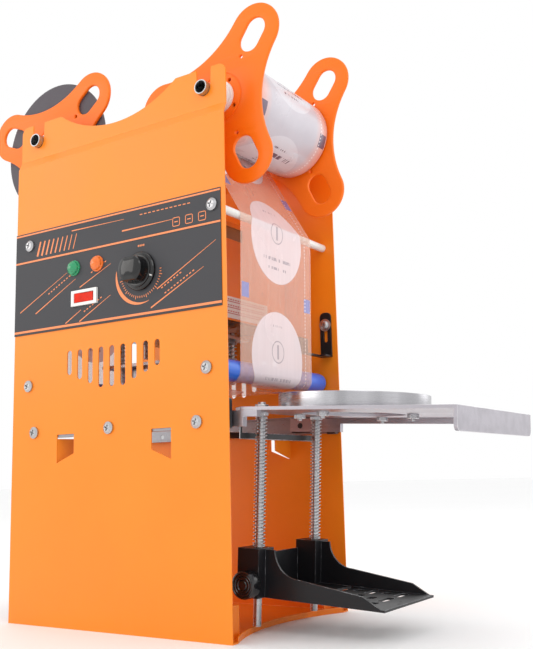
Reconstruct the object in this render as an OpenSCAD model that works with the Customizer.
// Cup sealing machine with a pull-out cup drawer, a sprung heating head and two film reels.
// Row frame: +Z up, front of the machine towards -Y, controls on the -X side.
// The origin is the centre of the footprint, on the surface the machine stands on.

/* [Body] */
// Width over the two side panels
body_w = 200; // [190:1:220]
// Depth of the side panels
body_d = 270; // [262:1:280]
// Height of the side panels
body_h = 512; // [508:1:520]
// Thickness of the folded sheet
sheet = 1.2; // [1:0.1:1.5]

/* [Reels] */
// Outer radius of a hand wheel, from its centre to the end of a lobe
wheel_r = 97; // [92:1:99]
// Thickness of a hand wheel
wheel_t = 3.7; // [3:0.1:4]
// Outer radius of the reel tubes
tube_r = 7; // [6:0.5:7]
// Width of the sealing film
film_w = 127; // [120:1:127]
// Radius of the full supply roll
supply_r = 42; // [30:0.5:52]
// Radius of the wound waste film
takeup_r = 34; // [24:1:45]

/* [Drawer] */
// Radius of the bore that holds the cup below its rim
cup_r = 46; // [44:0.5:47]
// Outer radius of the cup ring
ring_r = 68.8; // [64:0.2:72]
// Height of the cup ring
ring_h = 14; // [12:1:16]
// Width of the drawer plate
drawer_w = 180; // [172:1:181]
// Droop of the pulled-out drawer, in degrees
droop = 3.1; // [2:0.1:3.2]

/* [Controls] */
// Radius of the temperature knob's skirt
knob_r = 18.5; // [14:0.5:20]
// Radius of a signal lamp's lens
lamp_r = 8; // [5:0.5:9]

/* [Hidden] */
$fn = 64;
e = 0.1;
half_w = body_w/2;
half_d = body_d/2;
inner_x = half_w - sheet;
corner_r = 8;
top_arc_r = 130;
top_arc_deep = 25;
joggle_in = 4;
joggle_z = 464;
joggle_h = 9;
top_x = half_w - joggle_in;
reel_y = half_d - 25;
reel_z = 492.5;
reel_clear = 0.05;
guide_rod_z = 377;
front_rod_y = -half_d + 13.5;
rear_rod_y = half_d - 21.5;
guide_rod_r = 4;
roller_z = 231;
roller_y = 112.5;
roller_r = 10;
shaft_r = 3;
screw_r = 2.4;
screw_head_r = 5.8;
rail_screw_z = 184;
rail_screw_y = [-101, 3, 103];
head_travel = 12;
// Cooling slots
vent_count = 9;
vent_pitch = 13.95;
vent_w = 6.4;
vent_top = 262;
vent_long = 39;
vent_step = 5;
// Lanced windows below the slides
window_y0 = 48.6;
window_w = 23;
window_top = 180.6;
window_long = 27.6;
window_short = 18.6;
tab_bend = 75;
tab_top = window_top - 4;
// The drawer is laid out in its own level frame, with its origin at the carriage pins,
// and tilted by the droop.
// Names in _local, plate_top, rod_low and block_low are measured in that frame.
pivot_y = -95;
pivot_z = 187;
ring_local = -107.8;
plate_t = 3;
plate_top = 10.8;
rear_local = -28;
front_local = -237.4;
lip_h = 19.5;
rod_x = 49;
rod_local = -39.8;
rod_r = 3.6;
rod_low = -178;
block_low = -153;
block_h = 42;
tray_w = 100;
tray_front_local = -162.6;
// Housing over the press and the electrics
house_y = 73;
house_low = 290;
house_top = 392;
// Press
bridge_z = 278;
bridge_t = 2.5;
head_r = 52;
head_low = 224;
head_h = 22;
bolt_x = 48;
bolt_y = 35;
crank_z = 346;
crank_throw = head_travel/2;
crank_pin_r = 3;
// Control panel
fascia_low = 284;
fascia_high = 391.7;
fascia_t = 0.8;
fascia_x = half_w + fascia_t;
knob_y = -37;
knob_z = 328;
lamp_z = 344;
lamp_ys = [18.4, 49.6];
rocker_y = 34.6;
rocker_z = 312.7;
rocker_w = 34;
rocker_h = 15.4;
rocker_axis = 2;
rocker_pin_r = 1.2;
rocker_pin_end = 6;
// Take-up drive
motor_y = 90;
motor_z = 365;
belt_x = 87;
belt_w = 5;
big_pulley_r = 16;
small_pulley_r = 8;
belt_t = 1.4;
belt_gap = 0.3;
// Film strip
web_t = 0.4;
web_gap = 0.35;
// Wheels' outer faces and the directions of their lobes, from the front upwards
supply_out = 70;
takeup_out = 76;
disc_t = 4;
supply_lobe = 55;
takeup_lobe = 38;
// Ring screws, from the ring's centre
fastener_spots = [for (a = [0:90:270]) 57.5*[cos(a), sin(a)]];

// Puts a flat outline drawn as (Y, Z) at x0 and thickens it along +X
module along_x(x0, length) {
    translate([x0, 0, 0])
    rotate([90, 0, 90])
    linear_extrude(length)
    children();
}

// Round bar along X
module bar_x(x0, length, r, y, z) {
    translate([x0, y, z])
    rotate([0, 90, 0])
    cylinder(r = r, h = length);
}

// Hollow round bar along X
module pipe_x(x0, length, r, bore, y, z) {
    difference() {
        bar_x(x0, length, r, y, z);
        bar_x(x0 - e, length + 2*e, bore, y, z);
    }
}

// Box from its low corner to its high corner
module block(low, high) {
    translate(low) cube(high - low);
}

// Slot outline with round ends, centred, standing upright
module upright_slot(w, length) {
    square([w, length - w], center = true);
    for (s = [-1, 1]) translate([0, s*(length - w)/2]) circle(d = w);
}

// Arc of points round a centre, from one angle to another
function arc(centre, r, a0, a1, steps = 12) =
    [for (i = [0:steps]) let (a = a0 + (a1 - a0)*i/steps) centre + r*[cos(a), sin(a)]];

function backwards(list) = [for (i = [len(list) - 1:-1:0]) list[i]];

// Moves from the drawer's own level frame to the drooping one at rest
module drooped() {
    translate([0, pivot_y, pivot_z])
    rotate([droop, 0, 0])
    children();
}

module panel_outline() {
    difference() {
        polygon(concat([[-half_d, 0], [half_d, 0]],
            arc([half_d - corner_r, body_h - corner_r], corner_r, 0, 90, 8),
            arc([corner_r - half_d, body_h - corner_r], corner_r, 90, 180, 8)));
        translate([0, body_h + top_arc_r - top_arc_deep]) circle(r = top_arc_r, $fn = 180);
        for (s = [-1, 1]) translate([s*reel_y, reel_z]) {
            circle(r = tube_r + 0.5);
            polygon([[-tube_r - 0.5, 0], [tube_r + 0.5, 0], [9.2, 30], [-9.2, 30]]);
        }
    }
}

module vents() {
    for (i = [0:vent_count - 1]) {
        side = abs(i - (vent_count - 1)/2);
        length = vent_long - vent_step*max(0, side - 1);
        translate([(i - (vent_count - 1)/2)*vent_pitch, vent_top - length/2]) upright_slot(vent_w, length);
    }
}

module windows() {
    for (s = [0, 1]) mirror([s, 0]) translate([window_y0, window_top])
        polygon([[0, 0], [window_w, 0], [window_w, -window_long], [0, -window_short]]);
}

module screw_holes() {
    for (y = [front_rod_y, rear_rod_y]) translate([y, guide_rod_z]) circle(r = screw_r + 0.1);
    for (s = [-1, 1]) translate([s*roller_y, roller_z]) circle(r = screw_r + 0.1);
    for (y = rail_screw_y) translate([y, rail_screw_z]) circle(r = screw_r + 0.1);
}

module control_holes() {
    translate([knob_y, knob_z]) circle(r = 3.6);
    for (y = lamp_ys) translate([y, lamp_z]) circle(r = lamp_r - 0.9);
    translate([rocker_y, rocker_z]) square([rocker_w - 5, rocker_h - 3], center = true);
}

// Lanced tab left standing inwards at the outer edge of each window, with its root inside the sheet
module tabs() {
    root = 0.4;
    for (s = [0, 1]) mirror([0, s, 0])
        translate([half_w - root, window_y0 + window_w + root, 0])
        rotate([0, 0, 90 - tab_bend])
        rotate([90, 0, 180])
        linear_extrude(sheet)
        polygon([[0, tab_top], [window_w - 1, tab_top], [window_w - 1, window_top - window_short],
            [0, window_top - window_long]]);
}

// Side panel on the +X side, with the offset fold below its top
module side_panel(with_controls) {
    difference() {
        intersection() {
            along_x(0, half_w + 1) panel_outline();
            translate([0, half_d, 0])
            rotate([90, 0, 0])
            linear_extrude(body_d)
            polygon([[half_w, 0], [half_w, joggle_z], [top_x, joggle_z + joggle_h], [top_x, body_h + 1],
                [top_x - sheet, body_h + 1], [top_x - sheet, joggle_z + joggle_h - 0.5],
                [inner_x, joggle_z - 0.5], [inner_x, 0]]);
        }
        along_x(inner_x - e, sheet + 2*e) {
            vents();
            windows();
            screw_holes();
            if (with_controls) control_holes();
        }
    }
    tabs();
}

module panel_near() {
    color("darkorange") mirror([1, 0, 0]) side_panel(true);
}

module panel_far() {
    color("darkorange") side_panel(false);
}

// Floor of the machine, with flanges up the sides and back and a curved front edge
module base_tray() {
    arc_deep = 22;
    arc_from_side = 7;
    half = inner_x - 0.1;
    chord = half - arc_from_side;
    arc_r = (chord*chord + arc_deep*arc_deep)/(2*arc_deep);
    arc_y = -half_d + arc_deep - arc_r;
    lip = 4;
    flange = 14;
    tab_w = 16;
    tab_h = 28;
    tab_in = 10;
    tab_y = -half_d + 12;
    root = 0.1;
    color("orange") {
        difference() {
            block([-half, -half_d, 0], [half, half_d, sheet]);
            translate([0, arc_y, -e]) cylinder(r = arc_r, h = sheet + 2*e, $fn = 180);
        }
        intersection() {
            block([-chord + 1, -half_d, sheet - root], [chord - 1, -half_d + arc_deep + 4, sheet + lip]);
            translate([0, arc_y, 0]) difference() {
                cylinder(r = arc_r + sheet, h = lip + 2*sheet, $fn = 180);
                translate([0, 0, -e]) cylinder(r = arc_r, h = lip + 3*sheet, $fn = 180);
            }
        }
        for (s = [0, 1]) mirror([s, 0, 0]) {
            block([half - sheet, -half_d + 4, sheet - root], [half, half_d - root, flange]);
            block([half - tab_w - tab_in, tab_y, sheet - root], [half - tab_in, tab_y + sheet, tab_h]);
        }
        block([-half, half_d - sheet, sheet - root], [half, half_d, flange]);
    }
}

module housing_cover() {
    half = inner_x - 1;
    slot_low = 374;
    color("orange") difference() {
        block([-half, -house_y, house_low], [half, house_y, house_top]);
        block([-half - e, -house_y + sheet, house_low - e], [half + e, house_y - sheet, house_top - sheet]);
        block([-60, -house_y - e, slot_low], [17, -house_y + sheet + e, slot_low + 13]);
        block([-62 - 15, house_y - sheet - e, 340 - 11], [-62 + 15, house_y + e, 340 + 11]);
    }
}

module info_plate() {
    color("white") block([-60, -house_y - 0.6, house_low + 2], [60, -house_y, house_low + 24]);
}

module outer_slides() {
    depth = 7;
    low = 178;
    high = 197;
    wall = 1.4;
    color("silver") for (s = [0, 1]) mirror([s, 0, 0]) difference() {
        block([inner_x - 0.1 - depth, -half_d + 13, low], [inner_x - 0.1, half_d - 8, high]);
        block([inner_x - 0.1 - depth - e, -half_d + 12, low + wall],
            [inner_x - 0.1 - wall, half_d - 7, high - wall]);
        for (y = rail_screw_y) bar_x(inner_x - 3, 4, screw_r + 0.1, y, rail_screw_z);
    }
}

module slide_end_blocks() {
    color("#222222") for (s = [0, 1]) mirror([s, 0, 0])
        block([inner_x - 7.5, -half_d + 2, 177], [inner_x - 0.1, -half_d + 12.8, 203]);
}

module film_guide_rods() {
    color("white") for (y = [front_rod_y, rear_rod_y]) difference() {
        bar_x(-inner_x + 0.1, 2*inner_x - 0.2, guide_rod_r, y, guide_rod_z);
        for (x = [-inner_x, inner_x - 10]) bar_x(x, 10, screw_r + 0.05, y, guide_rod_z);
    }
}

module roller_shafts() {
    color("silver") for (s = [-1, 1]) difference() {
        bar_x(-inner_x + 0.1, 2*inner_x - 0.2, shaft_r, s*roller_y, roller_z);
        for (x = [-inner_x, inner_x - 10]) bar_x(x, 10, screw_r + 0.05, s*roller_y, roller_z);
    }
}

// Cross-recessed pan head screw at the +X panel, with its shank pointing inwards
module panel_screw(y, z, reach) {
    head = 3.2;
    translate([0, y, z]) difference() {
        union() {
            bar_x(half_w, head*0.55, screw_head_r, 0, 0);
            translate([half_w + head*0.55, 0, 0])
            rotate([0, 90, 0])
            cylinder(r1 = screw_head_r, r2 = screw_head_r*0.62, h = head*0.45);
            bar_x(half_w - reach, reach, screw_r, 0, 0);
        }
        for (a = [0, 90]) rotate([a + 20, 0, 0]) block([half_w + 1.4, -0.7, -3], [half_w + 4, 0.7, 3]);
    }
}

module panel_screws() {
    long = 9;
    short = 2.4;
    color("gainsboro") for (m = [0, 1]) mirror([m, 0, 0]) {
        lift = m == 1 ? fascia_t + 0.05 : 0;
        for (y = [front_rod_y, rear_rod_y]) translate([lift, 0, 0]) panel_screw(y, guide_rod_z, long);
        for (s = [-1, 1]) panel_screw(s*roller_y, roller_z, long);
        for (y = rail_screw_y) panel_screw(y, rail_screw_z, short);
    }
}

module sensor_bracket() {
    front = -129;
    back = -116;
    low = 258;
    high = 306;
    corner = 5;
    behind_film = -121.5;
    color("#222222") difference() {
        union() {
            along_x(inner_x - 2.1, 2) polygon(concat([[front, low], [back, low]],
                arc([back - corner, high - corner], corner, 0, 90, 8),
                arc([front + corner, high - corner], corner, 90, 180, 8)));
            block([84, front, low], [inner_x - 0.1, back, low + 1.6]);
            block([40, behind_film, low], [85, back, low + 1.6]);
        }
        along_x(inner_x - 3, 4) translate([(front + back)/2, 286]) upright_slot(4.4, 24);
    }
}

module eye_sensor() {
    color("#333333") difference() {
        block([41, -121.5, 259.8], [61, -116.5, 274]);
        block([49, -121.6, 266], [53, -120.5, 270]);
    }
}

module press_deck() {
    half = inner_x - 1;
    color("silver") difference() {
        union() {
            block([-half, -60, 292], [half, 60, 295]);
            for (s = [0, 1]) mirror([s, 0, 0]) block([half - 2, -60, 295], [half, 60, 303]);
        }
        for (s = [-1, 1]) translate([0, s*42, 290]) cylinder(r = 4.1, h = 10);
        block([-8, -14, 290], [8, 14, 297]);
    }
}

module press_guide_posts() {
    color("gainsboro") for (s = [-1, 1]) translate([0, s*42, 0]) {
        translate([0, 0, 262]) cylinder(r = 4, h = 37);
        translate([0, 0, 295.1]) cylinder(r = 7, h = 4);
    }
}

module press_gearmotor() {
    color("slategray") {
        block([14, -28, 295.1], [46, 28, 376]);
        bar_x(46, 44, 24, 0, crank_z - 4);
        bar_x(8.2, 6, 4, 0, crank_z);
    }
}

module press_crank() {
    color("silver") difference() {
        union() {
            bar_x(6, 5.6, 13, 0, crank_z);
            bar_x(-3, 9.2, crank_pin_r, 0, crank_z + crank_throw);
        }
        bar_x(8, 4, 4.06, 0, crank_z);
    }
}

module winding_motor() {
    color("slategray") {
        bar_x(40, 38, 14, motor_y, motor_z);
        bar_x(77, 17, 2, motor_y, motor_z);
        block([77.5, motor_y - 15, motor_z - 17], [79.5, motor_y + 15, motor_z + 15]);
        block([78, motor_y - 13, motor_z - 17], [inner_x - 0.1, motor_y + 13, motor_z - 15]);
    }
}

// Loop round the two pulleys, clear of them by belt_gap
module winding_belt() {
    color("#1c1c1c") along_x(belt_x, belt_w) difference() {
        belt_loop(belt_gap + belt_t);
        belt_loop(belt_gap);
    }
}

module belt_loop(grow) {
    apart = [reel_y - motor_y, reel_z - motor_z];
    gap = norm(apart);
    lean = asin((big_pulley_r - small_pulley_r)/gap);
    translate([motor_y, motor_z])
        rotate(atan2(apart.y, apart.x))
        polygon(concat(arc([0, 0], small_pulley_r + grow, 90 + lean, 270 - lean, 16),
            arc([gap, 0], big_pulley_r + grow, -90 - lean, 90 + lean, 24)));
}

// Flanged pulley on the take-up drive, cut to a given bore
module pulley(y, z, r, bore) {
    difference() {
        union() {
            bar_x(belt_x - 0.6, belt_w + 1.2, r, y, z);
            for (x = [belt_x - 1.8, belt_x + belt_w + 0.6]) bar_x(x, 1.2, r + 2.6, y, z);
        }
        bar_x(belt_x - 3, belt_w + 6, bore, y, z);
    }
}

module takeup_pulley() {
    color("#333333") pulley(reel_y, reel_z, big_pulley_r, tube_r + reel_clear);
}

module motor_pulley() {
    color("silver") pulley(motor_y, motor_z, small_pulley_r, 2.06);
}

module control_board() {
    color("seagreen") {
        block([-70, -50, 299], [-20, 30, 300.6]);
        block([-66, -46, 300.6], [-40, -20, 324]);
        for (y = [-12, 2, 16]) block([-64, y, 300.6], [-46, y + 9, 313]);
        for (x = [-66, -26]) for (y = [-46, 24]) translate([x, y, 295.1]) cylinder(r = 2.5, h = 4);
    }
}

module thermostat() {
    color("ivory") {
        block([-inner_x + 0.1, knob_y - 18, knob_z - 14], [-inner_x + 24, knob_y + 18, knob_z + 14]);
        bar_x(-half_w - 12, 13.4, 3, knob_y, knob_z);
    }
}

module control_fascia() {
    color("#4a4a4d") difference() {
        block([-fascia_x, -half_d + 4.5, fascia_low], [-half_w, half_d, fascia_high]);
        along_x(-fascia_x - e, fascia_t + 2*e) {
            translate([knob_y, knob_z]) circle(r = 3.6);
            for (y = lamp_ys) translate([y, lamp_z]) circle(r = lamp_r - 0.9);
            translate([rocker_y, rocker_z]) square([rocker_w - 5, rocker_h - 3], center = true);
            for (y = [front_rod_y, rear_rod_y]) translate([y, guide_rod_z]) circle(r = screw_r + 0.1);
        }
    }
}

module lamp(y) {
    translate([-fascia_x, y, lamp_z]) rotate([0, -90, 0]) {
        cylinder(r = lamp_r, h = 2);
        translate([0, 0, 2]) cylinder(r1 = lamp_r - 0.6, r2 = lamp_r*0.5, h = 5);
        translate([0, 0, -20]) cylinder(r = lamp_r - 1, h = 20);
    }
}

module lamp_green() {
    color("green") lamp(lamp_ys[1]);
}

module lamp_orange() {
    color("orangered") lamp(lamp_ys[0]);
}

module switch_bezel() {
    color("white") difference() {
        union() {
            block([-fascia_x - 2.4, rocker_y - rocker_w/2, rocker_z - rocker_h/2],
                [-fascia_x, rocker_y + rocker_w/2, rocker_z + rocker_h/2]);
            block([-fascia_x, rocker_y - rocker_w/2 + 2.6, rocker_z - rocker_h/2 + 1.6],
                [-inner_x + 18, rocker_y + rocker_w/2 - 2.6, rocker_z + rocker_h/2 - 1.6]);
        }
        block([-fascia_x - 3, rocker_y - rocker_w/2 + 3.8, rocker_z - rocker_h/2 + 2.8],
            [-fascia_x + 9, rocker_y + rocker_w/2 - 3.8, rocker_z + rocker_h/2 - 2.8]);
        translate([-fascia_x + rocker_axis, rocker_y, rocker_z - rocker_pin_end - 1])
            cylinder(r = rocker_pin_r + 0.05, h = 2*rocker_pin_end + 2);
    }
}

module power_rocker() {
    half = rocker_w/2 - 5.4;
    high = rocker_h - 6.4;
    color("red") translate([-fascia_x, rocker_y, rocker_z]) {
        translate([0, 0, -high/2])
            linear_extrude(high)
            polygon([[-1.8, -half], [-1.4, 0], [-3.2, half], [1.6, half - 0.6], [4, 2], [4, -2],
                [1.6, -half + 0.6]]);
        translate([rocker_axis, 0, -rocker_pin_end]) cylinder(r = rocker_pin_r, h = 2*rocker_pin_end);
    }
}

module temperature_knob() {
    color("#1a1a1a") translate([-fascia_x - 0.5, knob_y, knob_z]) rotate([0, -90, 0]) difference() {
        union() {
            cylinder(r = knob_r, h = 4);
            translate([0, 0, 4]) cylinder(r1 = knob_r*0.8, r2 = knob_r*0.72, h = 14.5);
        }
        translate([0, 0, -e]) cylinder(r = 3.06, h = 12.2);
        translate([-0.6, 0, 18]) cube([1.2, knob_r, 2]);
    }
}

module power_inlet() {
    y0 = house_y;
    color("#222222") translate([-62, 0, 340]) {
        difference() {
            union() {
                block([-19, y0 + 0.1, -14], [19, y0 + 2.4, 14]);
                block([-14.5, y0 - 18, -10.5], [14.5, y0 + 0.1, 10.5]);
            }
            block([-12, y0 - 15, -8], [12, y0 + 3, 8]);
        }
        for (x = [-7, 0, 7]) block([x - 1, y0 - 15.1, x == 0 ? 0 : -4], [x + 1, y0 - 3, x == 0 ? 3 : 0]);
    }
}

// Half of the strip's path, in a frame whose first axis points out of the machine: from the roll's inner
// side, round the outer side of the guide rod, to the lowest point of the roller.
function half_path(rod_y, roll_r, thick) =
    let (rod = [rod_y, guide_rod_z])
    let (roll = [reel_y, reel_z])
    let (r0 = guide_rod_r + web_gap)
    let (r1 = roll_r + web_gap + web_t)
    let (lean = atan2(roll.y - rod.y, roll.x - rod.x) - acos((r0 + r1)/norm(roll - rod)))
    concat([roll - (r1 - thick)*[cos(lean), sin(lean)]], arc(rod, r0 + thick, lean, 0),
        arc([roller_y, roller_z], roller_r + web_gap + thick, 0, -90));

function web_line(thick) = concat([for (p = half_path(-front_rod_y, supply_r, thick)) [-p.x, p.y]],
    backwards(half_path(rear_rod_y, takeup_r, thick)));

// Film strip from the supply roll, round the rods and rollers, to the waste roll
module film_web() {
    color("pink") along_x(-film_w/2, film_w) polygon(concat(web_line(0), backwards(web_line(web_t))));
}

// Tube that carries a reel and rests in the open notches of the two panels
module reel_tube(y) {
    pipe_x(-half_w - 1.5, 2*half_w + 3, tube_r, tube_r - 1.2, y, reel_z);
}

// Stepped collars that lock the wheels on a tube, from the wheels' outer faces at x0
module reel_collars(x0, y) {
    for (s = [0, 1]) mirror([s, 0, 0]) difference() {
        union() {
            bar_x(x0, 4, 16, y, reel_z);
            bar_x(x0 + 3.9, 5.1, 13, y, reel_z);
        }
        bar_x(x0 - e, 10, tube_r + reel_clear, y, reel_z);
    }
}

// Three-lobed outline: round lobes joined by hollow flanks, with a grip hole in each lobe
module hand_wheel_outline() {
    lobe_r = 27;
    lobe = [wheel_r - lobe_r, 0];
    flank = 146*[cos(60), sin(60)];
    flank_r = norm(flank - lobe) - lobe_r;
    meet = atan2(flank.y - lobe.y, flank.x - lobe.x);
    third = concat(arc(lobe, lobe_r, -meet, meet, 32), arc(flank, flank_r, meet + 180, 300 - meet, 20));
    difference() {
        polygon([for (a = [0:120:240]) for (p = third) [p.x*cos(a) - p.y*sin(a), p.x*sin(a) + p.y*cos(a)]]);
        circle(r = tube_r + reel_clear);
        for (a = [0:120:240]) rotate(a) {
            translate([66, 0]) rotate(90) upright_slot(21.5, 34);
            translate([43, 0]) circle(r = 1.6);
        }
        for (a = [0:90:270]) rotate(a) translate([19, 0]) circle(r = 2);
    }
}

// Hand wheel with shallow rings turned in both faces;
// a is its first lobe's direction, from the front upwards
module hand_wheel(x0, y, a) {
    translate([0, y, reel_z]) difference() {
        along_x(x0, wheel_t) rotate(180 - a) hand_wheel_outline();
        for (x = [x0 - 0.2, x0 + wheel_t - 0.4]) difference() {
            bar_x(x, 0.6, 24.6, 0, 0);
            bar_x(x - e, 0.8, 23.2, 0, 0);
        }
    }
}

module supply_tube() {
    color("silver") reel_tube(-reel_y);
}

module takeup_tube() {
    color("silver") reel_tube(reel_y);
}

module supply_collars() {
    color("white") reel_collars(supply_out, -reel_y);
}

module takeup_collars() {
    color("white") reel_collars(takeup_out, reel_y);
}

module supply_wheel_near() {
    color("orangered") hand_wheel(-supply_out, -reel_y, supply_lobe);
}

module supply_wheel_far() {
    color("orangered") hand_wheel(supply_out - wheel_t, -reel_y, supply_lobe);
}

module takeup_wheel_near() {
    color("orangered") hand_wheel(-takeup_out, reel_y, takeup_lobe);
}

module takeup_wheel_far() {
    color("orangered") hand_wheel(takeup_out - wheel_t, reel_y, takeup_lobe);
}

module supply_core() {
    color("tan") pipe_x(-film_w/2, film_w, 19, tube_r + reel_clear, -reel_y, reel_z);
}

module supply_film() {
    color("whitesmoke") pipe_x(-film_w/2, film_w, supply_r, 19.02, -reel_y, reel_z);
}

module takeup_disc() {
    x0 = wheel_t - takeup_out + 0.02;
    color("#5a565b") pipe_x(x0, disc_t, 71.5, tube_r + reel_clear, reel_y, reel_z);
}

module takeup_film() {
    half = takeup_out - wheel_t - disc_t - 0.2;
    color("lavender") pipe_x(-half, 2*half, takeup_r, tube_r + reel_clear, reel_y, reel_z);
}

// Idle roller with rounded ends, running on its fixed shaft
module idle_roller(y) {
    half = 96;
    round_r = 5;
    translate([0, y, roller_z]) rotate([0, 90, 0]) difference() {
        rotate_extrude() intersection() {
            union() {
                translate([0, -half + round_r]) square([roller_r, 2*(half - round_r)]);
                translate([0, -half]) square([roller_r - round_r, 2*half]);
                for (s = [-1, 1]) translate([roller_r - round_r, s*(half - round_r)]) circle(r = round_r);
            }
            translate([0, -half]) square([roller_r, 2*half]);
        }
        cylinder(r = shaft_r + 0.05, h = 2*half + 2, center = true);
    }
}

module front_roller() {
    color("royalblue") idle_roller(-roller_y);
}

module rear_roller() {
    color("royalblue") idle_roller(roller_y);
}

// Small carriages that run in the fixed slides and carry the drawer's pivot pins
module slide_shoes() {
    color("dimgray") for (s = [0, 1]) mirror([s, 0, 0]) {
        block([92.6, pivot_y - 16, 180.2], [96.6, pivot_y + 16, 194.8]);
        bar_x(83.5, 9.2, 3, pivot_y, pivot_z);
    }
}

// Plate with the cup opening, two rod holes and a lip folded down at the front
module drawer_plate() {
    corner = 17;
    lip_corner = 5;
    lip_low = plate_top - lip_h;
    lap = 0.01;
    half = drawer_w/2;
    under = plate_top - plate_t;
    color("gainsboro") drooped() difference() {
        union() {
            translate([0, 0, under]) linear_extrude(plate_t) polygon([[-half, front_local],
                [half, front_local], [half, rear_local - corner], [half - corner, rear_local],
                [-half + corner, rear_local], [-half, rear_local - corner]]);
            translate([0, front_local + lap, 0]) rotate([90, 0, 0]) linear_extrude(plate_t + lap)
                polygon(concat([[half, plate_top], [-half, plate_top]],
                    arc([lip_corner - half, lip_low + lip_corner], lip_corner, 180, 270, 8),
                    arc([half - lip_corner, lip_low + lip_corner], lip_corner, 270, 360, 8)));
        }
        translate([0, ring_local, under - e]) cylinder(r = cup_r + 1, h = plate_t + 2*e);
        for (s = [-1, 1]) translate([s*rod_x, rod_local, under - e])
            cylinder(r = rod_r + 0.1, h = plate_t + 2*e);
        for (p = fastener_spots) translate([p.x, ring_local + p.y, under - e])
            cylinder(r = 2.1, h = plate_t + 2*e);
    }
}

// Arms under the plate, each hung on a pivot pin; the far one also stiffens the front
module drawer_arms() {
    under = plate_top - plate_t;
    color("silver") drooped() for (s = [-1, 1]) {
        x0 = s > 0 ? 84 : -90;
        difference() {
            union() {
                block([x0, s > 0 ? front_local + 8 : rear_local - 34, under - 5.5],
                    [x0 + 6, rear_local - 18, under - 0.05]);
                block([x0, rear_local - 20, under - 14], [x0 + 6, 12, under - 0.3]);
            }
            bar_x(x0 - 1, 8, 3.06, 0, 0);
        }
    }
}

module drawer_cross_bar() {
    color("silver") drooped() {
        block([-70, -31, -12], [70, -16, -10.6]);
        block([-70, -31, -16.5], [70, -17, -12]);
        for (s = [0, 1]) mirror([s, 0, 0]) block([66, -31, -10.7], [70, -29.6, plate_top - plate_t]);
    }
}

module cup_ring() {
    color("silver") drooped() translate([0, ring_local, plate_top]) difference() {
        rotate_extrude($fn = 128) translate([cup_r, 0]) polygon([[0, 0], [ring_r - cup_r, 0],
            [ring_r - cup_r, ring_h - 0.8], [ring_r - cup_r - 0.8, ring_h], [0.8, ring_h],
            [0, ring_h - 0.8]]);
        for (p = fastener_spots) translate([p.x, p.y, -e]) cylinder(r = 2.1, h = 8);
    }
}

// Screws that hold the ring, with their nuts under the plate
module drawer_fasteners() {
    under = plate_top - plate_t;
    color("gainsboro") drooped() {
        for (p = fastener_spots) translate([p.x, ring_local + p.y, 0]) {
            translate([0, 0, under - 6]) cylinder(r = 2, h = 13);
            translate([0, 0, under - 4]) difference() {
                cylinder(r = 5.4, h = 3.9, $fn = 6);
                translate([0, 0, -e]) cylinder(r = 2.05, h = 5);
            }
        }
    }
}

module support_rods() {
    color("gainsboro") drooped() for (s = [-1, 1]) translate([s*rod_x, rod_local, 0]) {
        translate([0, 0, rod_low]) cylinder(r = rod_r, h = plate_top + 6 - rod_low);
        translate([0, 0, plate_top]) cylinder(r = 6.2, h = 4, $fn = 6);
        translate([0, 0, plate_top - plate_t - 3]) cylinder(r = 6.2, h = 2.9, $fn = 6);
    }
}

module rod_springs() {
    top = plate_top - plate_t - 3.2;
    low = block_low + block_h + 0.3;
    color("silver") drooped() for (s = [-1, 1]) translate([s*rod_x, rod_local, low]) difference() {
        cylinder(r = 5.6, h = top - low);
        translate([0, 0, -e]) cylinder(r = rod_r + 0.5, h = top - low + 2*e);
    }
}

// Slotted tray between two sliding blocks, with side cheeks that sweep down to the front
module cup_support() {
    half = tray_w/2;
    tray_rear = rod_local + 14;
    front = tray_front_local;
    wall = 2;
    bore = rod_r + 0.05;
    color("#1d1d1f") drooped() difference() {
        union() {
            for (s = [-1, 1]) block([s*rod_x - 12, rod_local - 8, block_low],
                [s*rod_x + 12, rod_local + 14, block_low + block_h]);
            block([-half, front, block_low], [half, tray_rear - 2, block_low + wall]);
            for (s = [-1, 1]) along_x(s > 0 ? half - wall : -half, wall) cheek(front, rod_local - 7);
            block([-half, rod_local + 12, block_low], [half, rod_local + 14, block_low + 34]);
        }
        for (s = [-1, 1]) translate([s*rod_x, rod_local, block_low - e])
            cylinder(r = bore, h = block_h + 2*e);
        bar_x(-rod_x - 13, 12, 2.6, rod_local, block_low + 12);
        for (i = [0:4]) translate([0, ring_local - 32 + i*14, block_low - e]) linear_extrude(wall + 2*e)
            for (x = [-30, 0, 30]) translate([x, 0]) rotate(90) upright_slot(7, i%2 == 0 ? 24 : 14);
    }
}

// Side cheek in (Y, Z): a high root, a concave sweep and a chamfered front corner
module cheek(front, root) {
    sweep_r = 26;
    root_h = block_h - 1;
    low_h = 15;
    difference() {
        translate([0, block_low]) polygon([[root, 0], [front, 0], [front + 20, 10.5],
            [root - sweep_r - 8, low_h + 3], [root - sweep_r - 8, root_h], [root, root_h]]);
        translate([root - sweep_r - 8, block_low + root_h + 1]) circle(r = sweep_r - 2);
    }
}

module support_knob() {
    color("#161616") drooped() translate([0, rod_local, block_low + 12]) {
        bar_x(-rod_x - 12 - 13, 12.2, 12, 0, 0);
        bar_x(-rod_x - 12 - 1, 6, 2.54, 0, 0);
    }
}

module press_bridge() {
    color("silver") {
        difference() {
            block([-60, -50, bridge_z], [60, 50, bridge_z + bridge_t]);
            for (sx = [-1, 1]) for (sy = [-1, 1]) translate([sx*bolt_x, sy*bolt_y, bridge_z - e])
                cylinder(r = 3.06, h = bridge_t + 2*e);
            for (s = [-1, 1]) translate([0, s*42, bridge_z - e]) cylinder(r = 4.06, h = bridge_t + 2*e);
        }
    }
}

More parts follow.
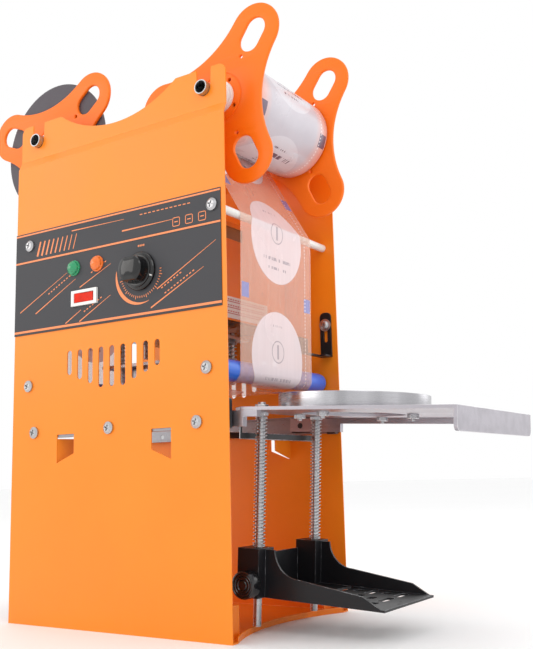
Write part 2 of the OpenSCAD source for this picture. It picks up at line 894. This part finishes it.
// Yoke that stands on the bridge; the crank pin runs in its cross slot, which leaves room above and below it
module connecting_rod() {
    x0 = -1.5;
    thick = 4;
    slot_z = crank_z + crank_throw;
    slot_h = 2*crank_pin_r + 3.2;
    slot_w = 2*(crank_throw + crank_pin_r) + 1;
    color("silver") {
        difference() {
            union() {
                block([x0, -5, bridge_z + bridge_t + 1], [x0 + thick, 5, slot_z - slot_h/2 - 2]);
                block([x0, -slot_w/2 - 4, slot_z - slot_h/2 - 4],
                    [x0 + thick, slot_w/2 + 4, slot_z + slot_h/2 + 4]);
            }
            block([x0 - e, -slot_w/2, slot_z - slot_h/2], [x0 + thick + e, slot_w/2, slot_z + slot_h/2]);
        }
        block([-6, -9, bridge_z + bridge_t], [6, 9, bridge_z + bridge_t + 5]);
    }
}

module heating_head() {
    color("silver") {
        difference() {
            union() {
                translate([0, 0, head_low]) cylinder(r = head_r, h = head_h - 3, $fn = 128);
                translate([0, 0, head_low + head_h - 3]) cylinder(r = head_r - 4, h = 3, $fn = 128);
                block([-60, -50, head_low + head_h], [60, 50, head_low + head_h + 3]);
            }
            translate([0, 0, head_low - e]) cylinder(r = head_r - 9, h = 3, $fn = 128);
            for (sx = [-1, 1]) for (sy = [-1, 1]) translate([sx*bolt_x, sy*bolt_y, head_low + 8])
                cylinder(r = 3.02, h = 30);
        }
    }
}

module head_bolts() {
    low = head_low + 8.1;
    color("gainsboro") for (sx = [-1, 1]) for (sy = [-1, 1]) translate([sx*bolt_x, sy*bolt_y, 0]) {
        translate([0, 0, low]) cylinder(r = 3, h = bridge_z + bridge_t + 7 - low);
        translate([0, 0, bridge_z + bridge_t + 0.05]) cylinder(r = 5.6, h = 4.8, $fn = 6);
    }
}

module head_springs() {
    low = head_low + head_h + 3.2;
    color("gainsboro") for (sx = [-1, 1]) for (sy = [-1, 1])
        translate([sx*bolt_x, sy*bolt_y, low]) difference() {
        cylinder(r = 5.2, h = bridge_z - 0.2 - low);
        translate([0, 0, -e]) cylinder(r = 3.6, h = 60);
    }
}

panel_near();
panel_far();
base_tray();
housing_cover();
info_plate();
outer_slides();
slide_end_blocks();
film_guide_rods();
roller_shafts();
panel_screws();
sensor_bracket();
eye_sensor();
press_deck();
press_guide_posts();
press_gearmotor();
winding_motor();
winding_belt();
control_board();
thermostat();
control_fascia();
lamp_green();
lamp_orange();
switch_bezel();
power_inlet();
film_web();
supply_tube();
supply_collars();
supply_wheel_near();
supply_wheel_far();
supply_core();
supply_film();
takeup_tube();
takeup_collars();
takeup_wheel_near();
takeup_wheel_far();
takeup_disc();
takeup_film();
takeup_pulley();
motor_pulley();
front_roller();
rear_roller();
slide_shoes();
drawer_plate();
drawer_arms();
drawer_cross_bar();
cup_ring();
drawer_fasteners();
support_rods();
rod_springs();
cup_support();
support_knob();
press_bridge();
connecting_rod();
heating_head();
head_bolts();
head_springs();
press_crank();
temperature_knob();
power_rocker();
